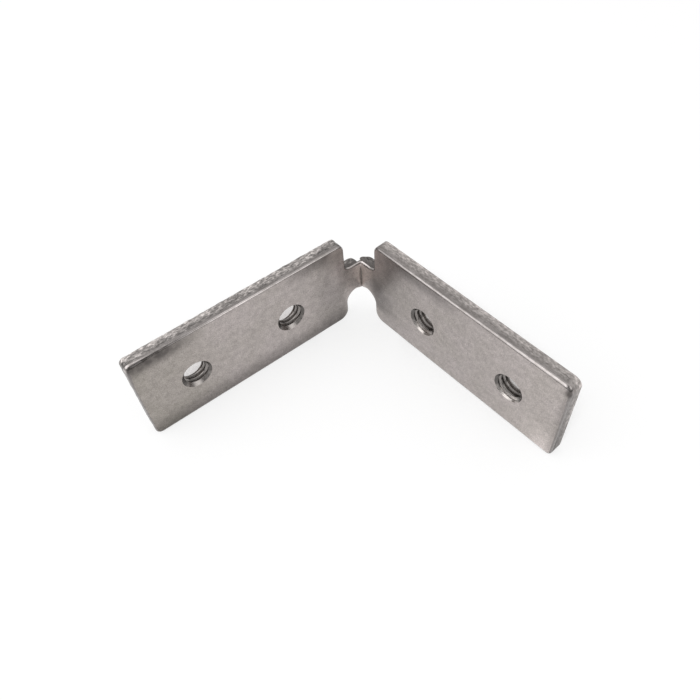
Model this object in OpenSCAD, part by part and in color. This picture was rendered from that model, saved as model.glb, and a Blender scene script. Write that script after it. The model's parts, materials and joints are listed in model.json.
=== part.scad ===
// Corner connector for cabinet handle profiles: a punched steel strip with two
// tapped legs, joined by a narrow neck that is scored on its outer face and
// folded by hand to the angle of the corner.
// Millimetres. Z runs up along the fold line and the legs open towards -Y.
// The origin lies under the middle of the part, on the surface it stands on.

/* [Strip] */
// Thickness of the steel strip
strip_t = 2.5; // [2.2:0.1:4]
// Height of the strip, from its lower edge to its upper edge
strip_h = 18; // [16:0.5:30]
// Length of each leg, from its inner end to its outer end
leg_len = 40; // [36:1:80]
// Radius of the corners at the outer ends of the legs
corner_r = 1.4; // [0.6:0.1:3]
// Radius of the upper corner of a leg, beside the neck
shoulder_r = 1.7; // [0.6:0.1:3]
// Radius of the lower corner of a leg, beside the neck
heel_r = 2; // [0.6:0.1:2.5]
// Radius of the rolled edge that the punch leaves round the inner face
roll_r = 0.35; // [0.1:0.05:0.45]

/* [Tapped holes] */
// Tapping diameter of the holes, at the crests of the thread
tap_d = 4.2; // [3:0.1:4.6]
// Diameter of the countersunk mouth of the holes, on the inner face
mouth_d = 5.4; // [5:0.1:6]
// Distance between the two holes of a leg
hole_pitch = 18.5; // [8:0.5:22]
// Distance from the outer hole to the outer end of its leg
hole_margin = 9.75; // [5:0.25:12]
// Height of the holes above the lower edge of the strip
hole_z = 8.5; // [6:0.25:12]

/* [Neck] */
// Distance from the fold line to the inner end of each leg
neck_reach = 3.7; // [3.2:0.1:6]
// Height of the neck
neck_h = 6.2; // [4:0.1:8]
// Height of the lower edge of the neck above the lower edge of the strip
neck_z = 5.9; // [5:0.1:7]
// Thickness of the neck, which is pressed thinner on its outer face
neck_t = 2; // [1.8:0.1:2.4]
// Radius of the arch where the lower edge of the neck runs into a leg
arch_r = 2.2; // [0.5:0.1:3]
// Radius of the corner where the upper edge of the neck runs into a leg
notch_r = 0.5; // [0.3:0.1:1.5]

/* [Fold] */
// Inside angle between the legs
fold_angle = 94; // [90:1:180]
// Smallest inside angle that the fold closes to
closed_angle = 90; // [80:1:90]
// Thickness of the web at the root of the score, about which the legs turn
web_t = 0.4; // [0.3:0.05:0.6]
// Depth of the web behind the inner face
web_depth = 0.1; // [0.05:0.05:0.3]
// Running gap between the web and the leg that turns about it
web_gap = 0.03; // [0.02:0.01:0.06]
// Width that the crease takes off the inner face on each side of the fold
crease_w = 0.3; // [0.1:0.05:0.5]
// Depth of the crease at the fold
crease_depth = 0.12; // [0.05:0.01:0.15]

/* [Score] */
// Width of the score at the outer face of the neck
score_w = 2; // [1.8:0.1:2.4]
// Distance of the middle of the score from the fold line, towards the left leg
score_shift = 0.3; // [0.2:0.05:0.4]
// Angle between the bevels at the mouth of the score, before folding
bevel_angle = 90; // [80:1:96]
// Width of the slit at the foot of the bevels, before folding
slit_w = 0.12; // [0.08:0.02:0.2]
// Distance of the middle of the slit from the fold line, towards the left leg
slit_shift = 0.58; // [0.5:0.02:0.66]
// Angle between the flanks of the slit, before folding
slit_angle = 4; // [2:1:10]
// Lean of the slit from square to the strip, towards the left leg
slit_lean = 13; // [8:1:16]

/* [Hidden] */
$fn = 64;
steel = "#a49c99";
// How far a cut runs past the face that it opens
over = 1;
half = fold_angle / 2;
reach = neck_reach + leg_len;
neck_top = neck_z + neck_h;
web_r = web_t / 2;
axis_depth = web_depth + web_r;
left_mouth = score_w / 2 + score_shift;
right_mouth = score_w / 2 - score_shift;
countersink = (mouth_d - tap_d) / 2;
holes = [reach - hole_margin - hole_pitch, reach - hole_margin];
// Place of the fold line, with the part's box centred from front to back
front_y = -(reach - roll_r) * cos(half) + (roll_r - axis_depth) * sin(half) - roll_r;
back_y = -right_mouth * cos(half) + (neck_t - axis_depth) * sin(half);
fold_y = -(front_y + back_y) / 2;
// Corners of a leg and its half of the neck, seen on the inner face: place along
// the strip, height, radius. The first and the last lie past the fold line.
corners = [
    [-over, neck_z, 0],
    [neck_reach, neck_z, arch_r],
    [neck_reach, 0, heel_r],
    [reach, 0, corner_r],
    [reach, strip_h, corner_r],
    [neck_reach, strip_h, shoulder_r],
    [neck_reach, neck_top, notch_r],
    [-over, neck_top, 0]
];
last = len(corners) - 1;
rounded = [1:last - 1];

// A corner's point and radius, and the ways that the outline runs into it and out of it
function point(i) = [corners[i][0], corners[i][1]];
function radius(i) = corners[i][2];
function way(from, to) = (to - from) / norm(to - from);
function way_in(i) = way(point(i - 1), point(i));
function way_out(i) = way(point(i), point(i + 1));
function heading(v) = atan2(v[1], v[0]);
function rounds(i) = i > 0 && i < last;
function hollow(i) = rounds(i) && cross(way_in(i), way_out(i)) < 0;

// The arc that rounds a corner
function arc_start(i) = rounds(i) ? point(i) - radius(i) * way_in(i) : point(i);
function arc_end(i) = rounds(i) ? point(i) + radius(i) * way_out(i) : point(i);
function arc_centre(i) = arc_start(i) + radius(i) * way_out(i);

// Outline of a leg and its half of the neck, with its corners rounded
module outline() {
    difference() {
        polygon([for (i = [0:last]) each hollow(i) ? [arc_start(i), arc_end(i)] : [point(i)]]);
        for (i = rounded) corner_waste(i);
    }
}

// What an arc takes off the outline at its corner
module corner_waste(i) {
    if (hollow(i)) translate(arc_centre(i)) circle(radius(i));
    else difference() {
        polygon([arc_start(i), point(i), arc_end(i), arc_centre(i)]);
        translate(arc_centre(i)) circle(radius(i));
    }
}

// What the rolled edge takes off: x runs into the strip from its side, y from its inner face
module roll_section(outside) {
    difference() {
        translate([-outside, -over]) square([outside + roll_r, over + roll_r]);
        translate([roll_r, roll_r]) circle(roll_r);
    }
}

// The rolled edge along the straight that follows a corner
module roll_straight(i) {
    run = arc_start(i + 1) - arc_end(i);
    translate([arc_end(i)[0], 0, arc_end(i)[1]]) rotate([0, -heading(run), 0])
        rotate([90, 0, 90]) linear_extrude(norm(run)) mirror([1, -1]) roll_section(over);
}

// The rolled edge round the arc of a corner
module roll_arc(i) {
    start = hollow(i) ? heading(-way_out(i)) : heading(way_in(i));
    translate([arc_centre(i)[0], 0, arc_centre(i)[1]]) rotate([-90, 0, 0]) rotate([0, 0, -start])
        rotate_extrude(angle = 90) translate([radius(i), 0])
            mirror([hollow(i) ? 0 : 1, 0]) roll_section(hollow(i) ? radius(i) / 2 : over);
}

// Hole through the strip at the tapping size, countersunk on the inner face
module tapped_hole() {
    rotate([-90, 0, 0]) translate([0, 0, -over]) {
        cylinder(d = tap_d, h = strip_t + 2 * over);
        cylinder(d1 = mouth_d + 2 * over, d2 = tap_d, h = countersink + over);
    }
}

// Plan of a half, seen from above. It ends at the crease on its inner side, and on its
// outer side at the flank of the slit, which runs from its foot up to the bevel.
module plan(foot, flank, mouth, seat_gap) {
    slope = tan(flank);
    bevel = tan(bevel_angle / 2);
    floor_depth = web_depth + web_t + seat_gap;
    knee_depth = (foot - floor_depth * slope - mouth + neck_t * bevel) / (bevel - slope);
    root = axis_depth / tan(closed_angle / 2) + web_gap;
    polygon([
        [web_gap, axis_depth],
        [root - crease_depth / tan(closed_angle / 2), crease_depth],
        [root + crease_w, 0],
        [reach, 0],
        [reach, strip_t],
        [neck_reach, strip_t],
        [neck_reach - (strip_t - neck_t), neck_t],
        [mouth, neck_t],
        [mouth - (neck_t - knee_depth) * bevel, knee_depth],
        [foot, floor_depth],
        [0, floor_depth]
    ]);
}

// A leg with its half of the neck, along +X from the fold line, with its inner face at
// y = 0. Its child is its plan, and its seat fits round the web with a gap.
module half_strip(seat_gap) {
    difference() {
        intersection() {
            rotate([90, 0, 0]) translate([0, 0, -strip_t]) linear_extrude(strip_t) outline();
            linear_extrude(strip_h) children();
        }
        for (i = [0:last - 1]) roll_straight(i);
        for (i = rounded) roll_arc(i);
        for (place = holes) translate([place, 0, hole_z]) tapped_hole();
        translate([0, axis_depth, 0]) cylinder(r = web_r + seat_gap, h = strip_h);
    }
}

// Turns a half about the fold line, from the flat strip to the folded part
module folded() {
    translate([0, fold_y, 0]) rotate([0, 0, half - 90]) translate([0, -axis_depth, 0]) children();
}

// The left leg carries the web
module left_leg() {
    color(steel) mirror([1, 0, 0]) folded() half_strip(0)
        plan(slit_shift + slit_w / 2, slit_angle / 2 + slit_lean, left_mouth, 0);
}

// The right leg turns about the web, and its lobe reaches over it
module right_leg() {
    color(steel) folded() half_strip(web_gap)
        plan(slit_w / 2 - slit_shift, slit_angle / 2 - slit_lean, right_mouth, web_gap);
}

// Web at the root of the score, which bends when the part is folded
module fold_web() {
    color(steel) translate([0, fold_y, neck_z]) cylinder(r = web_r, h = neck_h);
}

left_leg();
right_leg();
fold_web();
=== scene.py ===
# %% [markdown]
# # A corner connector for handle profiles
# The real part is one strip of plated steel. A press punches it out flat, four holes are tapped
# in it, and a narrow neck in its middle is scored on the back, so that two fingers can fold it
# to the angle of a cabinet corner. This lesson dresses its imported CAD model. It loads the model
# as a fixed frame, because every piece that is made here has to sit exactly where the CAD part is.

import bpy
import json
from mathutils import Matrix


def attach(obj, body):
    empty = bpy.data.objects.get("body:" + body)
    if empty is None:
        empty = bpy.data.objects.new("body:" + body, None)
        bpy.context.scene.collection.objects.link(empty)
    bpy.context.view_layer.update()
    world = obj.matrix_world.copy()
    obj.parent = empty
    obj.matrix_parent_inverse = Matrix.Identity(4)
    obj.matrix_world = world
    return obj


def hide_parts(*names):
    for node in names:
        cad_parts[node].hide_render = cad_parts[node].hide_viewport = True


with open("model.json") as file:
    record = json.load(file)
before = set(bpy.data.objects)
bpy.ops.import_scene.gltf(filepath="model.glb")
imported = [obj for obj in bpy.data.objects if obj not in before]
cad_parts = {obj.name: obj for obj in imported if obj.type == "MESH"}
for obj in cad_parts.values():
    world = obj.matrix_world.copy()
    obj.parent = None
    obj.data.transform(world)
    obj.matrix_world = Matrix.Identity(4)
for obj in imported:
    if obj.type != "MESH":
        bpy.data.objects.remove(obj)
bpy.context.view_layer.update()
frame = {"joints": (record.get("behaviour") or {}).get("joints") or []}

# %% [markdown]
# ## The camera
# The photograph looks down into the open corner, from just right of its middle and from close by,
# so the legs narrow a little towards the fold. A camera could be aimed with a constraint, but its
# place, the way it looks and its slight roll are known here, so its axes are written straight into
# its matrix. The part is only a hand's width away, which is why the near clipping comes down.

# %% Set the camera
import bpy
from mathutils import Matrix, Vector

eye = Vector((0.010796, -0.069508, 0.096108))
look = Vector((-0.10144, 0.60361, -0.79080))
roll = -0.091174

camera = bpy.data.objects.new("camera", bpy.data.cameras.new("camera"))
camera.data.lens = 34.9
camera.data.clip_start = 0.001
upright = look.to_track_quat("-Z", "Y").to_matrix()
turned = upright @ Matrix.Rotation(roll, 3, "Z")
camera.matrix_world = Matrix.Translation(eye) @ turned.to_4x4()
bpy.context.scene.collection.objects.link(camera)
bpy.context.scene.camera = camera
print("camera at", [round(1000 * x, 1) for x in eye], "mm, lens", camera.data.lens)

# %% [markdown]
# ## Helpers that read the strip
# The strip was rolled, plated and punched while it was still flat, so its grain and marks follow
# the strip and not the room. Each leg will carry an attribute called strip, which holds the place
# of every point along the flat strip, through its thickness and over its height, in millimetres.
# The finishes read that attribute. Small helpers keep their node trees readable.

# %% Make the helpers that read the strip
def start_finish(name):
    """A metal material, its node tree and its shader."""
    material = bpy.data.materials.new(name)
    material.use_nodes = True
    shader = material.node_tree.nodes["Principled BSDF"]
    shader.inputs["Metallic"].default_value = 1.0
    return material, material.node_tree, shader


def strip_place(tree, stretch=(1.0, 1.0, 1.0)):
    """The place on the flat strip in millimetres, stretched for a pattern that has a direction."""
    place = tree.nodes.new("ShaderNodeAttribute")
    place.attribute_name = "strip"
    mapping = tree.nodes.new("ShaderNodeMapping")
    mapping.inputs["Scale"].default_value = stretch
    tree.links.new(place.outputs["Vector"], mapping.inputs["Vector"])
    return mapping.outputs["Vector"]


def between(tree, value, low, high):
    """How far a value has come from a low one to a high one, from 0 to 1."""
    span = tree.nodes.new("ShaderNodeMapRange")
    span.interpolation_type = "SMOOTHSTEP"
    span.inputs["From Min"].default_value = low
    span.inputs["From Max"].default_value = high
    tree.links.new(value, span.inputs["Value"])
    return span.outputs["Result"]


def strip_axis(tree, axis, low, high):
    """How far a point lies between two places along one way of the strip."""
    parts = tree.nodes.new("ShaderNodeSeparateXYZ")
    tree.links.new(strip_place(tree), parts.inputs[0])
    return between(tree, parts.outputs[axis], low, high)


def speckle(tree, place, scale, detail=2.0, rough=0.5):
    """Noise of so many spots to a millimetre."""
    noise_node = tree.nodes.new("ShaderNodeTexNoise")
    noise_node.inputs["Scale"].default_value = scale
    noise_node.inputs["Detail"].default_value = detail
    noise_node.inputs["Roughness"].default_value = rough
    tree.links.new(place, noise_node.inputs["Vector"])
    return noise_node.outputs["Fac"]


print("helpers that read the strip are ready")

# %% [markdown]
# ## Helpers that mix the finishes
# Tints, painted light and painted shade keep to certain places of the strip, such as along an edge, in a
# corner or beside the neck. They could be painted as a picture, but a picture has to be fitted to the mesh
# and turns blurred up close. Here each place is given by spans along, through and over the strip, and its
# strength is multiplied in where all its spans overlap.

# %% Make the helpers that mix the finishes
def ramp(tree, value, *stops):
    """Colours, or greys given as single numbers, along a value."""
    made = tree.nodes.new("ShaderNodeValToRGB")
    points = made.color_ramp.elements
    while len(points) < len(stops):
        points.new(0.5)
    for point, (position, colour) in zip(points, stops):
        point.position = position
        point.color = (*colour, 1.0) if isinstance(colour, tuple) else (colour, colour, colour, 1.0)
    tree.links.new(value, made.inputs["Fac"])
    return made.outputs["Color"]


def combine(tree, kind, first, second, factor=1.0):
    """Two colours multiplied or mixed, or the lighter one of both."""
    made = tree.nodes.new("ShaderNodeMix")
    made.data_type = "RGBA"
    made.blend_type = kind
    for socket, value in ((0, factor), (6, first), (7, second)):
        if isinstance(value, bpy.types.NodeSocket):
            tree.links.new(value, made.inputs[socket])
        else:
            made.inputs[socket].default_value = value
    return made.outputs[2]


def overlap(tree, *spans):
    """Where all spans of the strip overlap: the axis, the start and the full place of each."""
    mask = strip_axis(tree, *spans[0])
    for span in spans[1:]:
        mask = combine(tree, "MULTIPLY", mask, strip_axis(tree, *span))
    return mask


def shade(tree, colour, places):
    """A colour made lighter or darker in places, each of them a strength and its spans."""
    for strength, *spans in places:
        tone = ramp(tree, overlap(tree, *spans), (0.0, 1.0), (1.0, strength))
        colour = combine(tree, "MULTIPLY", colour, tone)
    return colour


def coat(tree, shader, colour, roughness, height, depth):
    """Gives a shader its colour, its roughness and a bump of so many metres from a height."""
    tree.links.new(colour, shader.inputs["Base Color"])
    tree.links.new(roughness, shader.inputs["Roughness"])
    bump = tree.nodes.new("ShaderNodeBump")
    bump.inputs["Strength"].default_value = 1.0
    bump.inputs["Distance"].default_value = depth
    tree.links.new(height, bump.inputs["Height"])
    tree.links.new(bump.outputs["Normal"], shader.inputs["Normal"])


print("helpers that mix the finishes are ready")

# %% [markdown]
# ## Satin plate
# The broad faces keep the skin of the rolled sheet under a thin plating: a warm satin grey with
# soft clouds, a fine mottle and a few pits. One noise would look like fog, so three sizes of it
# are multiplied: clouds of several millimetres, a mottle of under a millimetre and a fine grain.
# The plating turns olive towards the left leg's far end. Painted light and painted shade make the faces
# lighter or darker in places, such as painted shade along the left leg's lower edge, and dark reflections
# are painted in both far corners.

# %% Make the satin plate
# The far corners, where dark reflections are painted
left_corner = (("X", -30.0, -38.0), ("Z", 14.8, 17.2), ("Y", 0.5, 0.2))
right_corner = (("X", 42.4, 43.4), ("Z", 15.6, 16.8), ("Z", 17.7, 17.2), ("Y", 0.6, 0.3))
painted_reflection_colour = (0.1, 0.09, 0.085, 1.0)
# Tints, painted light and painted shade of the satin plate, each with its strength and its spans in mm
satin_tint_and_painted_light = (
    # Painted light on the neck, and on the upper halves of the legs' ends beside it
    (1.6, ("X", -5.0, -1.5), ("X", 5.0, 1.5)),
    (1.35, ("X", -3.4, -4.4), ("X", -7.5, -5.5), ("Z", 8.5, 11.0)),
    (1.35, ("X", 3.4, 4.4), ("X", 7.5, 5.5), ("Z", 8.5, 11.0)),
    # The left leg: lighter along its length, painted shade below its shoulder, an olive tint darkened by
    # painted shade at its far end, and painted shade along its lower edge
    (1.15, ("X", -5.0, -14.0)),
    (0.84, ("X", -3.4, -4.6), ("X", -12.0, -7.5), ("Z", 14.0, 10.5)),
    ((0.8, 0.81, 0.77), ("X", -26.0, -43.0)),
    (0.48, ("X", -1.0, -5.0), ("Z", 5.0, 0.0)),
    # Painted shade in bands along the upper edges of both legs
    (0.6, ("X", -5.5, -9.0), ("X", -17.0, -11.0), ("Z", 14.8, 17.4)),
    (0.6, ("X", 8.0, 12.0), ("X", 24.0, 18.0), ("Z", 14.8, 17.4)),
    # The right leg: painted shade beside the neck, lighter along its length, painted light on its lower
    # far part, and painted shade at its end
    (0.58, ("X", 1.8, 4.2), ("X", 10.0, 5.0), ("Z", 2.2, 4.0), ("Z", 14.0, 5.5)),
    (1.1, ("X", 8.0, 16.0)),
    (1.13, ("X", 22.0, 43.0)),
    (1.12, ("X", 32.0, 40.0), ("Z", 8.0, 4.0)),
    (1.25, ("X", 38.0, 42.0), ("Z", 6.0, 1.0)),
    (0.76, ("X", 42.0, 43.5)),
)


def paint_corner_reflections(tree, colour):
    """A colour with dark reflections painted as blotches in both far corners."""
    reflection_blotches = ramp(tree, speckle(tree, strip_place(tree), 0.8, 3.0), (0.4, 0.75), (0.56, 1.0))
    for corner in (left_corner, right_corner):
        spread = combine(tree, "MULTIPLY", overlap(tree, *corner), reflection_blotches)
        colour = combine(tree, "MIX", colour, painted_reflection_colour, spread)
    return colour


satin, tree, shader = start_finish("satin_plate")
along = strip_place(tree, (0.85, 1.0, 1.0))
soft_clouds = speckle(tree, along, 0.16, 3.0)
clouds = ramp(tree, soft_clouds, (0.36, (0.348, 0.317, 0.299)), (0.64, (0.38, 0.343, 0.332)))
mottle = ramp(tree, speckle(tree, along, 1.0, 4.0, 0.65), (0.36, 0.86), (0.64, 1.1))
grain = ramp(tree, speckle(tree, along, 5.0, 2.0), (0.34, 0.82), (0.66, 1.16))
pits = ramp(tree, speckle(tree, along, 0.9, 1.0), (0.16, 0.55), (0.24, 1.0))
broad = combine(tree, "MULTIPLY", clouds, mottle)
small = combine(tree, "MULTIPLY", grain, pits)
colour = shade(tree, combine(tree, "MULTIPLY", broad, small), satin_tint_and_painted_light)
gloss = ramp(tree, speckle(tree, along, 0.8, 4.0), (0.3, 0.26), (0.7, 0.36))
ripple = speckle(tree, strip_place(tree, (0.5, 1.0, 1.0)), 5.0, 3.0)
coat(tree, shader, paint_corner_reflections(tree, colour), gloss, ripple, 0.000006)
print("satin plate:", len(tree.nodes), "nodes")

# %% [markdown]
# ## Sheared edge
# Where the punch cut the sheet, the edge first rolls over, is then rubbed smooth, and at last
# breaks away in a rough grey fracture. The broken part is modelled further on. Its finish mixes
# the two zones by their depth and adds the sparkle of the broken grains, which is duller on the
# leg that broke cleaner.

# %% Make the sheared edges
# Tones, painted light and painted shade of the sheared edges, each with its strength and its spans in mm
edge_tone_and_painted_light = (
    # The right leg: painted shade on its end wall, and lighter along its long edges, most of all near the
    # fold
    (0.95, ("X", 42.2, 43.6)),
    (1.12, ("X", 3.0, 4.5), ("X", 43.0, 41.0)),
    (1.15, ("X", 3.0, 4.5), ("X", 16.0, 9.0)),
    # Painted shade on the left leg's end wall
    (0.6, ("X", -42.5, -43.3)),
    # Painted highlight on the upper corner and painted shade on the lower part of the right leg's end wall
    (1.5, ("X", 42.0, 42.9), ("Z", 16.0, 17.0)),
    (0.58, ("X", 42.2, 43.4), ("Z", 11.0, 0.0)),
    # The neck
    (0.55, ("X", -4.6, -3.6), ("X", 4.6, 3.6)),
)


def sheared_edge(name, crumble, rubbed):
    """A wall that is rubbed smooth down to a depth in millimetres, and broken below it."""
    material, tree, shader = start_finish(name)
    place = strip_place(tree, (0.42, 1.0, 0.42))
    lumps = speckle(tree, place, 3.4, 4.0, 0.65)
    dark = (0.29 - 0.08 * crumble, 0.265 - 0.07 * crumble, 0.255 - 0.065 * crumble)
    light = (0.5 + 0.25 * crumble, 0.46 + 0.235 * crumble, 0.445 + 0.225 * crumble)
    broken = ramp(tree, lumps, (0.36, dark), (0.5, (0.37, 0.345, 0.33)), (0.64, light))
    rim = ramp(tree, strip_axis(tree, "Y", 1.0, 2.5), (0.0, 0.85), (1.0, 1.2))
    blotches = speckle(tree, place, 0.6, 2.0)
    patches = ramp(tree, blotches, (0.38, 1.0 - 0.2 * crumble), (0.62, 1.0 + 0.25 * crumble))
    broken = combine(tree, "MULTIPLY", broken, combine(tree, "MULTIPLY", rim, patches))
    rubs = speckle(tree, place, 0.8, 3.0)
    smooth = ramp(tree, rubs, (0.36, (0.25, 0.23, 0.22)), (0.64, (0.34, 0.315, 0.305)))
    torn = strip_axis(tree, "Y", rubbed - 0.2, rubbed + 0.15)
    tint = combine(tree, "MIX", smooth, broken, torn)
    fine = ramp(tree, speckle(tree, place, 6.0, 2.0), (0.34, 0.85), (0.66, 1.12))
    tint = shade(tree, combine(tree, "MULTIPLY", tint, fine), edge_tone_and_painted_light)
    matt = 0.18 * (1.0 - crumble)
    gloss = ramp(tree, lumps, (0.4, 0.5 + matt), (0.6, 0.3 + matt))
    grains = speckle(tree, place, 2.4, 4.0, 0.65)
    coat(tree, shader, tint, gloss, grains, 0.00002 + 0.00006 * crumble)
    return material


crumbled = sheared_edge("sheared_edge_crumbled", 1.0, 0.85)
smeared = sheared_edge("sheared_edge_smeared", 0.1, 1.1)
print("sheared edges:", crumbled.name, smeared.name)

# %% [markdown]
# ## Rolled edge
# The punch draws the sheet down round its rim, which leaves a small radius. It is the same metal as the
# faces, so only its grain, gloss and brightness differ: the upper rolled edges are brighter than the
# faces, and the others are darkened by painted shade. Painted highlight brightens most of all the ridge
# over the fold, and painted shade dims the edges near the fold and at the right leg's end.

# %% Make the rolled edge
roll_painted_light = (
    # Painted highlight on the ridge over the fold, and painted shade on all edges close to the fold
    (1.65, ("X", -3.6, -2.8), ("X", 3.6, 2.8), ("Z", 10.0, 11.2)),
    (0.75, ("X", -9.0, -5.0), ("X", 14.0, 5.0)),
    # Painted highlight in the middle of the left leg
    (1.35, ("X", -17.0, -22.0), ("X", -30.0, -26.0)),
    # The right leg: painted shade on its upper edge, painted highlight on its far part, and painted shade
    # at its end
    (0.72, ("X", 3.4, 5.0), ("Z", 15.5, 16.5)),
    (1.2, ("X", 30.0, 40.0)),
    (0.82, ("X", 42.6, 43.3)),
)
rolled, tree, shader = start_finish("rolled_edge")
rubs = speckle(tree, strip_place(tree, (0.6, 1.0, 0.6)), 2.0, 3.0)
tint = ramp(tree, rubs, (0.34, (0.43, 0.395, 0.38)), (0.66, (0.55, 0.51, 0.5)))
# Painted shade darkens all rolled edges but the upper ones and those beside the neck's top
shoulder = overlap(tree, ("X", -5.4, -4.6), ("X", 5.4, 4.6), ("Z", 10.0, 11.2))
bright = combine(tree, "LIGHTEN", shoulder, strip_axis(tree, "Z", 16.4, 17.2))
tint = combine(tree, "MULTIPLY", tint, ramp(tree, bright, (0.0, 0.52), (1.0, 1.0)))
# Dark reflections are painted in the far corners of the rolled edge too.
tint = paint_corner_reflections(tree, shade(tree, tint, roll_painted_light))
coat(tree, shader, tint, ramp(tree, rubs, (0.34, 0.27), (0.66, 0.19)), rubs, 0.000012)
print("rolled edge:", len(tree.nodes), "nodes")

# %% [markdown]
# ## Cut thread and scored flanks
# A tap leaves flanks with fine circular scratches, and the scoring tool leaves torn ones. Both could share
# one finish, but the scratches run round the hole and the tears run along the score, so each stretches its
# noise its own way. Painted shade darkens the sides of the countersinks, and painted highlight brightens
# their feet, where they catch the light from the floor.

# %% Make the thread and score finishes
thread_painted_light = (
    # Painted shade on the sides of the countersinks, painted highlight on their feet, and on the right
    # leg's feet once more
    (0.5, ("Z", 6.8, 7.6), ("Y", 0.75, 0.6)),
    (1.5, ("Z", 7.4, 6.4), ("Y", 0.75, 0.6)),
    (1.5, ("X", 5.0, 10.0), ("Z", 7.4, 6.4), ("Y", 0.75, 0.6)),
)
thread, tree, shader = start_finish("cut_thread")
scratches = speckle(tree, strip_place(tree, (1.0, 6.0, 1.0)), 3.0, 2.0)
tint = ramp(tree, scratches, (0.3, (0.2, 0.185, 0.175)), (0.7, (0.32, 0.298, 0.285)))
gloss = ramp(tree, scratches, (0.3, 0.2), (0.7, 0.32))
coat(tree, shader, shade(tree, tint, thread_painted_light), gloss, scratches, 0.00001)

scored, tree, shader = start_finish("scored_flank")
tears = speckle(tree, strip_place(tree, (1.0, 1.0, 0.4)), 3.5, 4.0, 0.6)
tint = ramp(tree, tears, (0.32, (0.27, 0.255, 0.24)), (0.68, (0.42, 0.395, 0.38)))
coat(tree, shader, tint, ramp(tree, tears, (0.3, 0.5), (0.7, 0.32)), tears, 0.00003)
print("thread and score:", thread.name, scored.name)

# %% [markdown]
# ## The sizes of the legs
# The two legs are punched by the same tool, so they share the sizes of the strip and of the neck. The
# press left them a little different: their radii, rolled edges, broken walls and halves of the score
# aren't quite alike. Each leg's own sizes stand in one list, so that one set of steps can make both.
# All are in millimetres, along the strip from the fold line, through it from its inner face, and up.

# %% Give the sizes of the legs
thickness = 2.5
strip_height = 18
far_end = 43.7
neck_bottom = 5.9
neck_top = 12.1
neck_thickness = 2
axis_depth = 0.3
satin_index, edge_index, thread_index, score_index, roll_index = range(5)

left_shape = {
    "inner": 3.55,
    "end_radius": 1.0,
    "foot_radius": 1.0,
    "roll": {"radius": 0.36, "start": 39.0, "length": 3.0},
    "crumble": 0.075,
    "rubbed": 0.75,
    "score": {"foot": 0.64, "floor": 0.5, "knee": (0.9475, 1.6475), "mouth": 1.3,
              "knee_round": 0.2, "mouth_round": 0.3},
    "seat": 0.2,
    "crease": {"width": 0.4, "depth": 0.12, "finish": satin_index},
}
right_shape = {
    "inner": 3.7,
    "end_radius": 1.4,
    "foot_radius": 0.75,
    "roll": {"radius": 0.42, "start": 24.0, "length": 40.0},
    "crumble": 0.015,
    "rubbed": 1.0,
    "score": {"foot": -0.52, "floor": 0.53, "knee": (-0.5607, 0.7393), "mouth": 0.7,
              "knee_round": 0.09, "mouth_round": 0.45},
    "seat": 0.23,
    "crease": {"width": 0.3, "depth": 0.06, "finish": score_index},
}
print("flat strip in mm:", 2 * far_end, "x", strip_height, "x", thickness)

# %% [markdown]
# ## The punched blank
# Each leg starts as the outline that the punch cuts: a long plate and half of the narrow neck.
# It could be drawn as a curve, but a single face whose corners are rounded by vertex bevels keeps
# every radius editable. The straight edges are divided, because the broken edge needs points to
# move.

# %% Punch the blank
import bmesh

arch_radius = 2.2
heel_radius = 2
shoulder_radius = 1.25
notch_radius = 0.5
past_fold = -1
edge_step = 0.22


def round_corner(bm, corner, radius, segments):
    bmesh.ops.bevel(bm, geom=[corner], offset=radius, offset_type="OFFSET", affect="VERTICES",
                    segments=segments, profile=0.5, material=-1)


def thicken(bm, way):
    """Turns a flat face into a solid, along a way."""
    raised = bmesh.ops.extrude_face_region(bm, geom=bm.faces[:])["geom"]
    moved = [v for v in raised if isinstance(v, bmesh.types.BMVert)]
    bmesh.ops.translate(bm, verts=moved, vec=way)
    bmesh.ops.recalc_face_normals(bm, faces=bm.faces)


def punch_blank(shape):
    """A leg and its half of the neck, which reaches a little past the fold line."""
    inner = shape["inner"]
    outline = [(past_fold, neck_bottom, 0), (inner, neck_bottom, arch_radius), (inner, 0, heel_radius),
               (far_end, 0, shape["foot_radius"]), (far_end, strip_height, shape["end_radius"]),
               (inner, strip_height, shoulder_radius), (inner, neck_top, notch_radius),
               (past_fold, neck_top, 0)]
    bm = bmesh.new()
    corners = [bm.verts.new((s, 0, z)) for s, z, radius in outline]
    bm.faces.new(corners)
    for corner, (s, z, radius) in zip(corners, outline):
        if radius:
            round_corner(bm, corner, radius, 12)
    for edge in [e for e in bm.edges if e.calc_length() > 0.5]:
        bmesh.ops.subdivide_edges(bm, edges=[edge], cuts=round(edge.calc_length() / edge_step))
    thicken(bm, (0, thickness, 0))
    return bm


flat_blank = punch_blank(right_shape)
print("blank:", len(flat_blank.verts), "points,", len(flat_blank.faces), "faces")
flat_blank.free()

# %% [markdown]
# ## The rolled rim
# As the punch pushes in, it draws the rim of the inner face down into a small radius. A Bevel modifier
# could round it, but it would round the cuts too, so only the rim's own edges get an edge bevel with a
# round profile. It deepens towards the far end, where the sheet has less support round the punch.

# %% Roll the rim
rim_width = 0.45
deep_from = 13
deep_rise = 4


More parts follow.
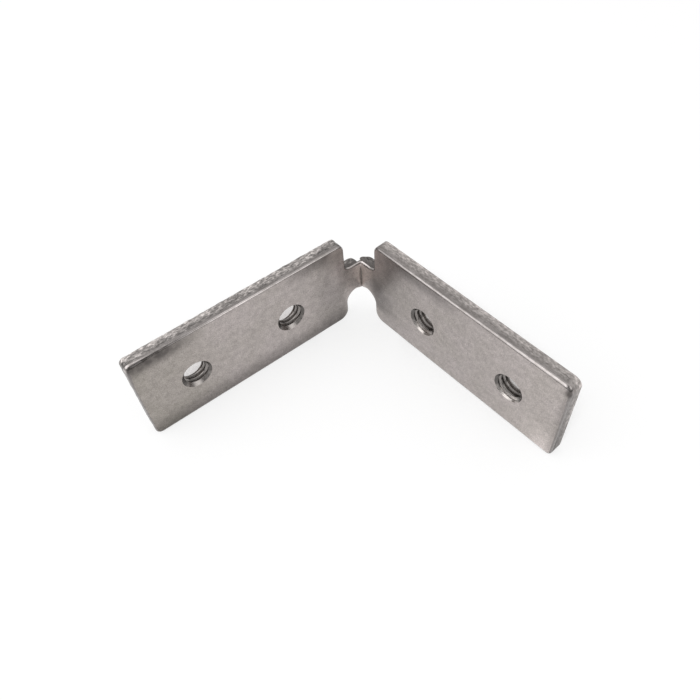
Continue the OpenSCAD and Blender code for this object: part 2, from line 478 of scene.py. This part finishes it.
def roll_inner_edge(bm, end_radius, radius, start, length):
    """Rounds the rim of the inner face, deeper towards the far end in its upper part."""
    level = [e for e in bm.edges if all(abs(v.co.y) < 1e-6 for v in e.verts)]
    rim = [e for e in level if not all(v.co.x < past_fold + 0.01 for v in e.verts)]
    bmesh.ops.bevel(bm, geom=rim, offset=radius, offset_type="OFFSET", affect="EDGES",
                    segments=8, profile=0.5, material=-1)
    for vert in bm.verts:
        along = min(vert.co.x, far_end - end_radius)
        up = min(max(vert.co.z, end_radius), strip_height - end_radius)
        core = Vector((along, vert.co.y, up))
        out = vert.co - core
        if vert.co.x > start and vert.co.y < radius + 1e-4 and out.length > rim_width:
            upper = min(max(vert.co.z - deep_from, 0) / deep_rise, 1)
            deeper = 1 + (vert.co.x - start) / length * upper
            vert.co = core + out.normalized() * (end_radius - deeper * (end_radius - out.length))
            vert.co.y *= deeper


def rolled_blank(shape):
    bm = punch_blank(shape)
    roll_inner_edge(bm, shape["end_radius"], **shape["roll"])
    return bm


blank = rolled_blank(right_shape)
print("rolled blank:", len(blank.verts), "points,", len(blank.faces), "faces")
blank.free()

# %% [markdown]
# ## The broken edge
# Next to the rolled edge the punch rubs the wall smooth, and beyond that the steel tears, so the
# wall leans inwards and turns lumpy. A bump alone would leave the outline ruler-straight, so the
# wall is cut into rows and its points are moved inwards by a fixed noise. Nothing moves outwards,
# and the part keeps its size. The left leg's edge crumbled, and the right one's broke cleaner.
# Folding also squeezes the neck: its lower edge swells under the fold, and its upper edge sinks at
# the inner face.

# %% Break the sheared edge
from mathutils import noise

break_rows = [0.45 + 0.18 * i for i in range(1, 12)]
break_run = 0.5
swell = {"below": 7, "depth": 0.5, "reach": 1.7, "inwards": 1.2}
sink = {"above": 11, "depth": 0.35, "reach": 3.2, "run": 0.8}


def lump(place, along, through, turn):
    """Fixed noise with so many lumps to a millimetre along the wall and through it."""
    return noise.noise(Vector((place.x * along, place.y * through + turn, place.z * along)))


def break_edge(bm, crumble, rubbed, turn):
    """Moves the walls inwards below the rubbed depth."""
    for depth in break_rows:
        bmesh.ops.bisect_plane(bm, geom=bm.verts[:] + bm.edges[:] + bm.faces[:], dist=1e-5,
                               plane_co=(0, depth, 0), plane_no=(0, 1, 0))
    bm.normal_update()
    moves = []
    for vert in bm.verts:
        share = min(max((vert.co.y - rubbed) / break_run, 0), 1)
        out = Vector((vert.normal.x, 0, vert.normal.z))
        if share and out.length > 0.1:
            coarse = lump(vert.co, 0.9, 1.6, turn)
            fine = lump(vert.co, 2.1, 3.2, turn)
            depth = crumble * share * (0.9 + coarse + 0.7 * fine)
            moves.append((vert, out.normalized() * max(depth, 0)))
    for vert, move in moves:
        vert.co -= move


def swell_fold(bm):
    """Lowers both edges of the neck near the fold."""
    for vert in bm.verts:
        if vert.co.z < swell["below"]:
            near = max(1 - (max(vert.co.x, 0) / swell["reach"]) ** 2, 0) ** 2
            vert.co.z -= swell["depth"] * near * max(1 - vert.co.y / swell["inwards"], 0)
        elif vert.co.z > sink["above"] and vert.co.x < sink["reach"]:
            near = min((sink["reach"] - vert.co.x) / sink["run"], 1)
            vert.co.z -= sink["depth"] * near * max(1 - vert.co.y ** 2, 0)


print("rows in the broken edge:", len(break_rows))

# %% [markdown]
# ## Tools that shape the fold
# The score on the back of the neck, the seat of the web and the crease on the inner face are cut away
# with tools shaped like the waste they take out. Their plan could be drawn into the blank at once, but
# tools of their own keep the blank simple, and each leg can take its own size of tool.

# %% Make the tools that shape the fold
over = 1
tool_height = strip_height + 2 * over
tool_start = -3
flank_gap = 0.03
step_start = 3.2
step_rise = thickness + over - neck_thickness
crease_place = (0.28, 0, 8.4)
crease_reach = 2.2


def new_piece(name, bm, finishes):
    """An object made from a bmesh, with its finishes."""
    mesh = bpy.data.meshes.new(name)
    bm.to_mesh(mesh)
    bm.free()
    for finish in finishes:
        mesh.materials.append(finish)
    piece = bpy.data.objects.new(name, mesh)
    bpy.context.scene.collection.objects.link(piece)
    return piece


def paint(bm, index):
    for face in bm.faces:
        face.material_index = index


def score_tool(foot, floor, knee, mouth, knee_round, mouth_round):
    """What the score, the slit and the step in the neck take off, seen from above."""
    bm = bmesh.new()
    back = neck_thickness + step_rise
    waste = [(tool_start, -over), (flank_gap + axis_depth + over, -over), (flank_gap, axis_depth),
             (0, floor), (foot, floor), knee, (mouth, neck_thickness), (step_start, neck_thickness),
             (step_start + step_rise, back), (tool_start, back)]
    corners = [bm.verts.new((s, d, -over)) for s, d in waste]
    bm.faces.new(corners)
    round_corner(bm, corners[5], knee_round, 5)
    round_corner(bm, corners[6], mouth_round, 5)
    thicken(bm, (0, 0, tool_height))
    paint(bm, score_index)
    return bm


def seat_tool(radius):
    """The round seat of the web."""
    bm = bmesh.new()
    middle = Matrix.Translation((0, axis_depth, strip_height / 2))
    bmesh.ops.create_cone(bm, cap_ends=True, segments=48, radius1=radius, radius2=radius,
                          depth=tool_height, matrix=middle)
    paint(bm, score_index)
    return bm


def crease_tool(width, depth, finish):
    """A spindle that presses the crease into the inner face."""
    bm = bmesh.new()
    bmesh.ops.create_uvsphere(bm, u_segments=32, v_segments=24, radius=1)
    spindle = Matrix.Translation(crease_place) @ Matrix.Diagonal((width, depth, crease_reach, 1))
    bmesh.ops.transform(bm, matrix=spindle, verts=bm.verts)
    paint(bm, finish)
    return bm


def try_tool(name, tool):
    print(name, "tool:", len(tool.faces), "faces, open edges:", sum(not e.is_manifold for e in tool.edges))
    tool.free()


try_tool("score", score_tool(**left_shape["score"]))
try_tool("seat", seat_tool(left_shape["seat"]))
try_tool("crease", crease_tool(**left_shape["crease"]))

# %% [markdown]
# ## Tap and countersink
# Each hole is countersunk on the inner face and then tapped for a set screw. A thread could be faked
# with stacked rings, but a real one climbs one pitch with each turn, so its profile is spun with a
# rise, and the two ends meet one pitch apart.

# %% Make the tap and the countersink
import math

hole_places = (15.45, 33.95)
hole_height = 8.5
crest_radius = 2.1
root_radius = 2.5
mouth_radius = 2.7
pitch = 0.8
tap_start = -1.13
tap_turns = 6
tap_steps = 64


def draw_line(bm, line):
    """Points joined by edges, for a spin."""
    points = [bm.verts.new(point) for point in line]
    return points + [bm.edges.new(pair) for pair in zip(points, points[1:])]


def tap_tool(hand):
    """The thread in both holes, with 1 for a leg that stays as it is and -1 for a mirrored one."""
    bm = bmesh.new()
    tooth = [(crest_radius, 0), (crest_radius, 0.2), (root_radius, 0.45), (root_radius, 0.55)]
    line = [(r, tap_start + pitch * turn + rise) for turn in range(tap_turns) for r, rise in tooth]
    line.append((crest_radius, tap_start + pitch * tap_turns))
    for place in hole_places:
        profile = draw_line(bm, [(place + r, d, hole_height) for r, d in line])
        bmesh.ops.spin(bm, geom=profile, cent=(place, 0, hole_height), axis=(0, 1, 0),
                       dvec=(0, pitch / tap_steps, 0), angle=hand * 2 * math.pi, steps=tap_steps)
    bmesh.ops.remove_doubles(bm, verts=bm.verts, dist=1e-4)
    caps = bmesh.ops.holes_fill(bm, edges=[e for e in bm.edges if e.is_boundary])["faces"]
    bmesh.ops.poke(bm, faces=caps)
    bmesh.ops.recalc_face_normals(bm, faces=bm.faces)
    paint(bm, thread_index)
    return bm


def countersink_tool():
    """A cone for the mouth of both holes, which starts outside the inner face."""
    bm = bmesh.new()
    depth = mouth_radius - crest_radius
    line = [(0, -over), (mouth_radius + over, -over), (crest_radius, depth), (0, depth)]
    for place in hole_places:
        profile = draw_line(bm, [(place + r, d, hole_height) for r, d in line])
        bmesh.ops.spin(bm, geom=profile, cent=(place, 0, hole_height), axis=(0, 1, 0),
                       angle=2 * math.pi, steps=70, use_merge=True)
    bmesh.ops.remove_doubles(bm, verts=bm.verts, dist=1e-4)
    bmesh.ops.recalc_face_normals(bm, faces=bm.faces)
    paint(bm, thread_index)
    return bm


try_tool("tap", tap_tool(1))
try_tool("countersink", countersink_tool())

# %% [markdown]
# ## Cutting and folding
# A Boolean modifier with the exact solver takes each tool out of the blank, as the press and the
# tap do. Then the leg remembers its flat place in the strip attribute, is folded about the CAD
# joint's own line, and is scaled from millimetres to metres, all in its mesh. Weighted normals keep
# the broad faces flat beside the rolled edge.

# %% Make the steps that cut and fold
fold_line = Vector(frame["joints"][0]["pos_m"])
fold_angle = 94
half_angle = math.radians(fold_angle / 2)
sharp_angle = math.radians(32)
to_metres = Matrix.Scale(0.001, 4)
to_fold = Matrix.Translation((0, fold_line.y, 0))


def cut_away(piece, tool):
    """Takes a tool's shape out of a piece, with the tool's finish on the cut."""
    cutter = new_piece("tool", tool, piece.data.materials)
    step = piece.modifiers.new("cut", "BOOLEAN")
    step.operation = "DIFFERENCE"
    step.solver = "EXACT"
    step.object = cutter
    graph = bpy.context.evaluated_depsgraph_get()
    cut = bpy.data.meshes.new_from_object(piece.evaluated_get(graph))
    piece.modifiers.clear()
    piece.data = cut
    bpy.data.objects.remove(cutter)


def fold_leg(piece, side):
    """Folds a flat leg into its place, on the right with 1 and mirrored on the left with -1."""
    bm = bmesh.new()
    bm.from_mesh(piece.data)
    bmesh.ops.remove_doubles(bm, verts=bm.verts, dist=1e-4)
    strip = bm.verts.layers.float_vector.new("strip")
    for vert in bm.verts:
        vert[strip] = (side * vert.co.x, vert.co.y, vert.co.z)
    place = (to_fold @ Matrix.Rotation(half_angle - math.pi / 2, 4, "Z")
             @ to_metres @ Matrix.Translation((0, -axis_depth, 0)))
    bmesh.ops.transform(bm, matrix=Matrix.Scale(side, 4, (1, 0, 0)) @ place, verts=bm.verts)
    bmesh.ops.recalc_face_normals(bm, faces=bm.faces)
    for face in bm.faces:
        face.smooth = True
    for edge in bm.edges:
        edge.smooth = edge.calc_face_angle(math.pi) < sharp_angle
    print(piece.name, "open edges:", sum(not e.is_manifold for e in bm.edges), "volume in mm3:",
          round(bm.calc_volume() * 1e9, 1), "triangles:", sum(len(f.verts) - 2 for f in bm.faces))
    bm.to_mesh(piece.data)
    bm.free()
    even = piece.modifiers.new("even_normals", "WEIGHTED_NORMAL")
    even.keep_sharp = True


print("fold line in mm:", [round(1000 * x, 3) for x in fold_line])

# %% [markdown]
# ## The two legs
# Now the steps run in the order of the real work: punch, roll, break, squeeze, cut and fold. The left
# leg could be a mirrored copy of the right one, but its score, its edges and some of its radii differ
# and its thread has to stay right-handed, so it is made anew and mirrored at the end.

# %% Make the legs
def make_leg(name, body, side, edge_finish, shape):
    bm = rolled_blank(shape)
    for face in bm.faces:
        slant = abs(face.normal.y)
        face.material_index = edge_index if slant < 0.05 else roll_index if slant < 0.95 else satin_index
    break_edge(bm, shape["crumble"], shape["rubbed"], 3 * side)
    swell_fold(bm)
    bmesh.ops.recalc_face_normals(bm, faces=bm.faces)
    leg = new_piece(name, bm, (satin, edge_finish, thread, scored, rolled))
    for tool in (score_tool(**shape["score"]), seat_tool(shape["seat"]), crease_tool(**shape["crease"]),
                 countersink_tool(), tap_tool(side)):
        cut_away(leg, tool)
    fold_leg(leg, side)
    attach(leg, body)
    return leg


left = make_leg("left_leg_strip", "left", -1, crumbled, left_shape)
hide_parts("left_leg")
right = make_leg("right_leg_strip", "right", 1, smeared, right_shape)
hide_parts("right_leg")

# %% [markdown]
# ## The web in the fold
# Only a thin web of steel is left at the root of the score, and the fold bends it. Its CAD solid is
# a plain pin, so a new one is spun about the fold line. It reaches down to the swollen lower edge of
# the neck, and a bead at its top joins the two upper edges. It gets the dull, stretched finish of
# bent metal, and its bead is rubbed bright like the edges.

# %% Bend the web
web_line = [(0, 5.48), (0.1, 5.5), (0.17, 5.57), (0.2, 5.7), (0.2, 10.3), (0.25, 10.45),
            (0.38, 10.65), (0.42, 10.8), (0.42, 11.25), (0.4, 11.4), (0.34, 11.54), (0.22, 11.65),
            (0.11, 11.69), (0, 11.7)]
bead_start = 10.9

bent, tree, shader = start_finish("bent_web")
stretched = speckle(tree, strip_place(tree, (1.0, 1.0, 0.3)), 4.0, 3.0)
tint = ramp(tree, stretched, (0.3, (0.24, 0.225, 0.215)), (0.7, (0.36, 0.335, 0.32)))
coat(tree, shader, tint, ramp(tree, stretched, (0.3, 0.5), (0.7, 0.38)), stretched, 0.00001)

bm = bmesh.new()
profile = draw_line(bm, [(r, 0, z) for r, z in web_line])
bmesh.ops.spin(bm, geom=profile, cent=(0, 0, 0), axis=(0, 0, 1), angle=2 * math.pi, steps=32,
               use_merge=True)
bmesh.ops.remove_doubles(bm, verts=bm.verts, dist=1e-4)
bmesh.ops.recalc_face_normals(bm, faces=bm.faces)
strip = bm.verts.layers.float_vector.new("strip")
for vert in bm.verts:
    vert[strip] = vert.co
for face in bm.faces:
    face.smooth = True
    face.material_index = int(face.calc_center_median().z > bead_start)
bmesh.ops.transform(bm, matrix=to_fold @ to_metres, verts=bm.verts)
web = new_piece("bent_web", bm, (bent, rolled))
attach(web, "left")
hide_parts("fold_web")
print("web:", len(web.data.polygons), "faces")

# %% [markdown]
# ## The shade behind the legs
# The photograph stands on plain white, but the holes show a grey floor: the legs shelter it from the light
# in front. A fixed grey patch would stay behind when the part is folded. So the Ambient Occlusion node
# measures how much of the front each spot of the floor can't see, and there the floor's colour is darkened
# as painted shade that follows the legs. The middle, behind the fold, stays white as in the photograph.

# %% Find the shade behind the legs
paper = bpy.data.materials.new("white_floor")
paper.use_nodes = True
tree = paper.node_tree
shader = tree.nodes["Principled BSDF"]
shader.inputs["Roughness"].default_value = 0.9
shader.inputs["Specular IOR Level"].default_value = 0.0
sheltered_painted_shade = (0.62, 0.59, 0.58)
open_tint = 0.9


def floor_math(operation, *values):
    """One step of arithmetic in the floor's node tree."""
    step = tree.nodes.new("ShaderNodeMath")
    step.operation = operation
    for socket, value in zip(step.inputs, values):
        if isinstance(value, bpy.types.NodeSocket):
            tree.links.new(value, socket)
        else:
            socket.default_value = value
    return step.outputs[0]


spot = tree.nodes.new("ShaderNodeSeparateXYZ")
tree.links.new(tree.nodes.new("ShaderNodeTexCoord").outputs["Object"], spot.inputs[0])
aside = floor_math("ABSOLUTE", spot.outputs["X"])
front = tree.nodes.new("ShaderNodeCombineXYZ")
front.inputs["Y"].default_value = -0.8
front.inputs["Z"].default_value = 0.6
shelter = tree.nodes.new("ShaderNodeAmbientOcclusion")
shelter.samples = 4
shelter.inputs["Distance"].default_value = 0.02
tree.links.new(front.outputs[0], shelter.inputs["Normal"])
hidden = between(tree, shelter.outputs["AO"], 0.70, 0.5)
close = floor_math("MULTIPLY", hidden, between(tree, aside, 0.006, 0.009))
# Painted shade: the floor's colour turns grey where the legs shelter it
tree.links.new(ramp(tree, close, (0.0, open_tint), (1.0, sheltered_painted_shade)), shader.inputs["Base Color"])
print("floor shade:", len(tree.nodes), "nodes")

# %% [markdown]
# ## The floor
# The floor is a pale disc that takes the part's shadow. To camera and glossy rays it also glows a
# little, so that it renders white, also in the metal, and no extra light has to fall on the part for
# that. In the shade behind the legs the camera sees no glow. The disc ends not far from the part, like
# a sheet of paper on a table, because the rolled edges show what lies beyond.

# %% Lay the floor
floor_radius = 0.3
camera_share = 0.7
glossy_share = 0.68

light_path = tree.nodes.new("ShaderNodeLightPath")
in_the_open = floor_math("MULTIPLY_ADD", close, -camera_share, camera_share)
sight = floor_math("MULTIPLY", light_path.outputs["Is Camera Ray"], in_the_open)
share = floor_math("MULTIPLY_ADD", light_path.outputs["Is Glossy Ray"], glossy_share, sight)
glow = tree.nodes.new("ShaderNodeEmission")
glow.inputs["Strength"].default_value = 1.1
lit = tree.nodes.new("ShaderNodeMixShader")
tree.links.new(share, lit.inputs[0])
tree.links.new(shader.outputs[0], lit.inputs[1])
tree.links.new(glow.outputs[0], lit.inputs[2])
tree.links.new(lit.outputs[0], tree.nodes["Material Output"].inputs["Surface"])
bm = bmesh.new()
bmesh.ops.create_circle(bm, cap_ends=True, segments=96, radius=floor_radius)
floor = new_piece("floor", bm, (paper,))
print("floor:", floor.name, "of", floor_radius, "m round the part")

# %% [markdown]
# ## The room
# Bare metal shows what stands round it, so the room matters as much as the lamps. The world is pale
# overhead and dark along the horizon and where the photographer stands. It could be a picture of a
# studio, but two ramps are enough for such a plain room. Rays from the camera see it white.

# %% Build the room
world = bpy.data.worlds.new("studio")
bpy.context.scene.world = world
world.use_nodes = True
tree = world.node_tree
sky = tree.nodes["Background"]
way = tree.nodes.new("ShaderNodeTexCoord")
height = tree.nodes.new("ShaderNodeSeparateXYZ")
tree.links.new(way.outputs["Generated"], height.inputs[0])
room = ramp(tree, height.outputs["Z"], (0.0, 0.2), (0.22, 0.3), (0.45, 0.8), (1.0, 0.85))
towards = tree.nodes.new("ShaderNodeVectorMath")
towards.operation = "DOT_PRODUCT"
towards.inputs[1].default_value = -look
tree.links.new(way.outputs["Generated"], towards.inputs[0])
person = ramp(tree, towards.outputs["Value"], (0.8, 1.0), (0.92, 0.3))
seen = tree.nodes.new("ShaderNodeLightPath").outputs["Is Camera Ray"]
white = (1.0, 1.0, 1.0, 1.0)
surround = combine(tree, "MIX", combine(tree, "MULTIPLY", room, person), white, seen)
tree.links.new(surround, sky.inputs["Color"])
sky.inputs["Strength"].default_value = 1.0
print("room:", len(tree.nodes), "nodes")

# %% [markdown]
# ## The lamps
# The key lamp hangs on the left, so that the left leg throws a narrow shadow into the corner. A low
# lamp on the left draws the bright line along the right leg's rolled edge, and one on the right does
# the same for the left leg. All are broad area lamps, because a small one would leave hard spots in
# the metal.

# %% Hang the lamps
lamp_distance = 0.5


def soft_lamp(name, direction, size, power):
    """A broad lamp that shines on the part from a direction."""
    lamp = bpy.data.lights.new(name, "AREA")
    lamp.shape = "RECTANGLE"
    lamp.size, lamp.size_y = size
    lamp.energy = power
    holder = bpy.data.objects.new(name, lamp)
    out = Vector(direction).normalized()
    aim = (-out).to_track_quat("-Z", "Y").to_matrix().to_4x4()
    holder.matrix_world = Matrix.Translation(out * lamp_distance) @ aim
    bpy.context.scene.collection.objects.link(holder)
    print(name, "radiance", round(power / (math.pi * size[0] * size[1]), 2))


soft_lamp("key_lamp", direction=(-0.5, -0.25, 0.83), size=(0.5, 0.5), power=0.9)
soft_lamp("left_lamp", direction=(-0.87, -0.35, 0.35), size=(0.5, 0.14), power=0.16)
soft_lamp("right_lamp", direction=(0.68, -0.36, 0.64), size=(0.35, 0.25), power=0.21)

# %% [markdown]
# ## The view transform
# The render shows its colours with the standard view transform. The dressed part may
# not outgrow the CAD part.

# %% Set the view transform
import json

bpy.context.scene.view_settings.view_transform = "Standard"
